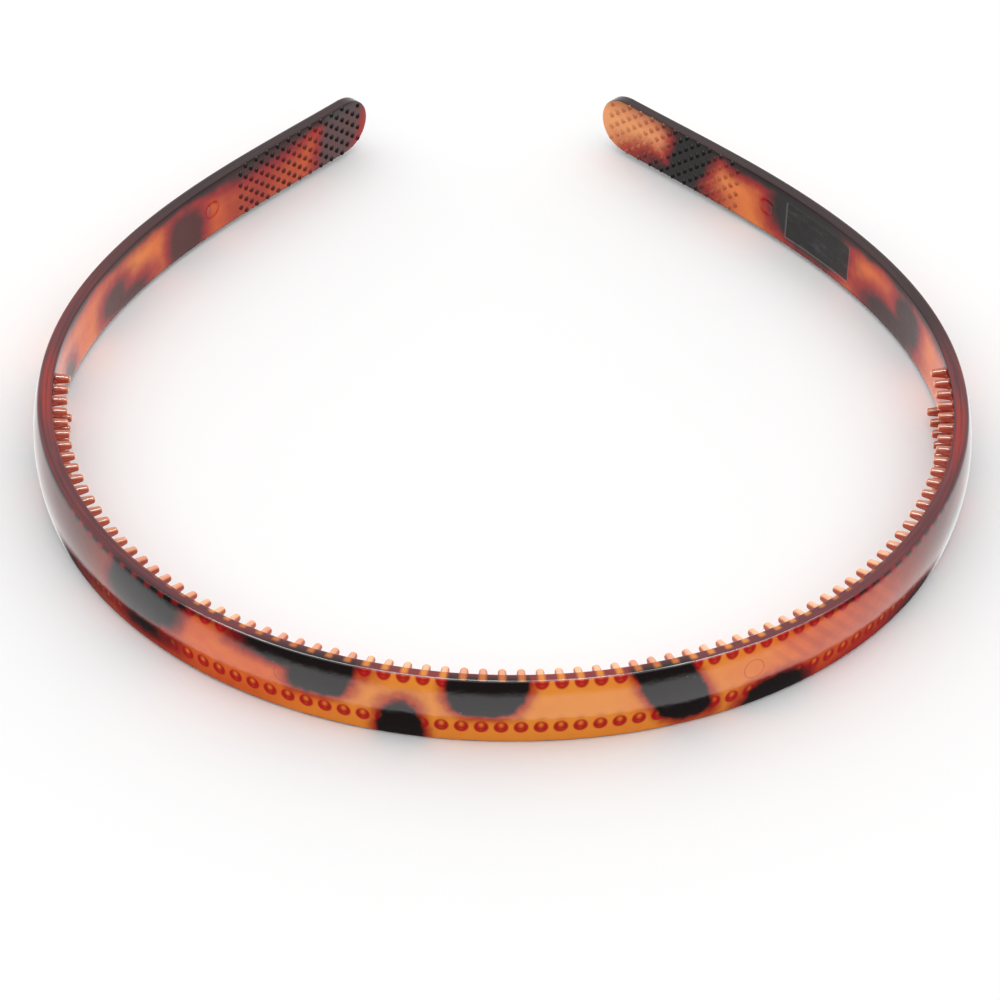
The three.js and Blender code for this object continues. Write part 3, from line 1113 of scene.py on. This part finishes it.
class HEADBAND_OT_stage(Operator):
    """Adds the pale floor, the soft studio light and the camera"""

    bl_idname = "headband.add_stage"
    bl_label = "Add Stage"
    bl_options = {"REGISTER", "UNDO"}

    # The camera's place in metres, and its turn to the right, downwards and about its own line
    # of sight, in degrees.
    CAMERA_PLACE = (-0.02769, -0.48865, 0.39801)
    CAMERA_TURN = (3.276, 40.177, 1.669)

    def execute(self, context):
        floor = self.floor(tuple(context.scene.headband_colours.floor))
        self.studio(context)
        self.overhead(context)
        context.scene.camera = self.camera(context)
        context.scene.view_settings.view_transform = "Standard"
        return {"FINISHED"}

    def floor(self, shade):
        """A pale sheet just under the band's lower edge."""
        mesh = bpy.data.meshes.new("floor")
        half, level = 6.0, -0.00005
        corners = [(-half, -half), (half, -half), (half, half), (-half, half)]
        mesh.from_pydata([(x, y, level) for x, y in corners], [], [(0, 1, 2, 3)])
        material = bpy.data.materials.new("pale_floor")
        tree = Tree(material)
        spot = tree.node("ShaderNodeTexCoord").out("Object")
        cloud = tree.noise(spot, 3.0, 2.0)
        light = tuple(min(1.0, c * 1.02) for c in shade)
        colour_over = tree.mix(cloud, shade, light)
        tree.finish({"Base Color": colour_over, "Roughness": 0.9, "Specular IOR Level": 0.1})
        mesh.materials.append(material)
        floor = bpy.data.objects.new("floor", mesh)
        floor.visible_glossy = False
        bpy.context.scene.collection.objects.link(floor)
        return floor

    def studio(self, context):
        """A white room with a dark strip in front and a dark patch straight below."""
        world = bpy.data.worlds.new("studio")
        context.scene.world = world
        tree = Tree(world)
        direction = tree.node("ShaderNodeTexCoord").out("Generated")
        parts = tree.node("ShaderNodeSeparateXYZ", None, {0: direction})
        away, rise = parts.out("Y"), parts.out("Z")
        bright_low = (rise - away * 0.025).ramp(-0.725, -0.69)
        front = away.ramp(0.25, -0.2)
        strip = (rise - away * 0.04).ramp(-0.40, -0.29) * rise.ramp(0.55, 0.35) * front
        brightness = (bright_low * 0.94 + 0.06) * (1 - strip * 0.93)
        shade = tree.join(brightness, brightness, brightness)
        surface = tree.node("ShaderNodeBackground", None, {"Color": shade, "Strength": 1.16})
        tree.node("ShaderNodeOutputWorld", None, {"Surface": surface.out()})

    def overhead(self, context):
        """A wide light straight above, which only glints on rounded edges."""
        lamp = bpy.data.lights.new("overhead", "AREA")
        lamp.shape = "RECTANGLE"
        lamp.size, lamp.size_y = 1.2, 0.35
        lamp.energy = 22.0
        light = bpy.data.objects.new("overhead", lamp)
        light.location = (0.0, 0.0, 0.8)
        light.visible_diffuse = False
        context.scene.collection.objects.link(light)

    def camera(self, context):
        """The camera looks down at the band from in front of its crown."""
        data = bpy.data.cameras.new("camera")
        data.sensor_width = 36.0
        data.lens = 162.0
        data.clip_end = 20.0
        camera = bpy.data.objects.new("camera", data)
        yaw, pitch, roll = (math.radians(a) for a in self.CAMERA_TURN)
        ahead = math.cos(pitch)
        look = Vector((math.sin(yaw) * ahead, math.cos(yaw) * ahead, -math.sin(pitch)))
        level = Vector((math.cos(yaw), -math.sin(yaw), 0))
        above = level.cross(look)
        right = level * math.cos(roll) + above * math.sin(roll)
        top = above * math.cos(roll) - level * math.sin(roll)
        turned_to = Matrix((right, top, -look)).transposed().to_4x4()
        camera.matrix_world = Matrix.Translation(self.CAMERA_PLACE) @ turned_to
        context.scene.collection.objects.link(camera)
        return camera


class HEADBAND_PT_pieces(Panel):
    """Lists the pieces in the 3D view's sidebar"""

    bl_idname = "HEADBAND_PT_pieces"
    bl_label = "Headband"
    bl_space_type = "VIEW_3D"
    bl_region_type = "UI"
    bl_category = "Headband"

    def draw(self, context):
        for operator in OPERATORS:
            self.layout.operator(operator.bl_idname)


OPERATORS = (
    HEADBAND_OT_band,
    HEADBAND_OT_comb,
    HEADBAND_OT_grips,
    HEADBAND_OT_marks,
    HEADBAND_OT_stage,
)
CLASSES = (HEADBAND_PG_sizes, HEADBAND_PG_colours, *OPERATORS, HEADBAND_PT_pieces)


def register():
    for cls in CLASSES:
        bpy.utils.register_class(cls)
    bpy.types.Scene.headband_sizes = PointerProperty(type=HEADBAND_PG_sizes)
    bpy.types.Scene.headband_colours = PointerProperty(type=HEADBAND_PG_colours)


def unregister():
    del bpy.types.Scene.headband_colours
    del bpy.types.Scene.headband_sizes
    for cls in reversed(CLASSES):
        bpy.utils.unregister_class(cls)


def main():
    register()
    bpy.ops.headband.add_band()
    bpy.ops.headband.add_comb()
    bpy.ops.headband.add_grips()
    bpy.ops.headband.add_marks()
    bpy.ops.headband.add_stage()


if __name__ == "__main__":
    main()
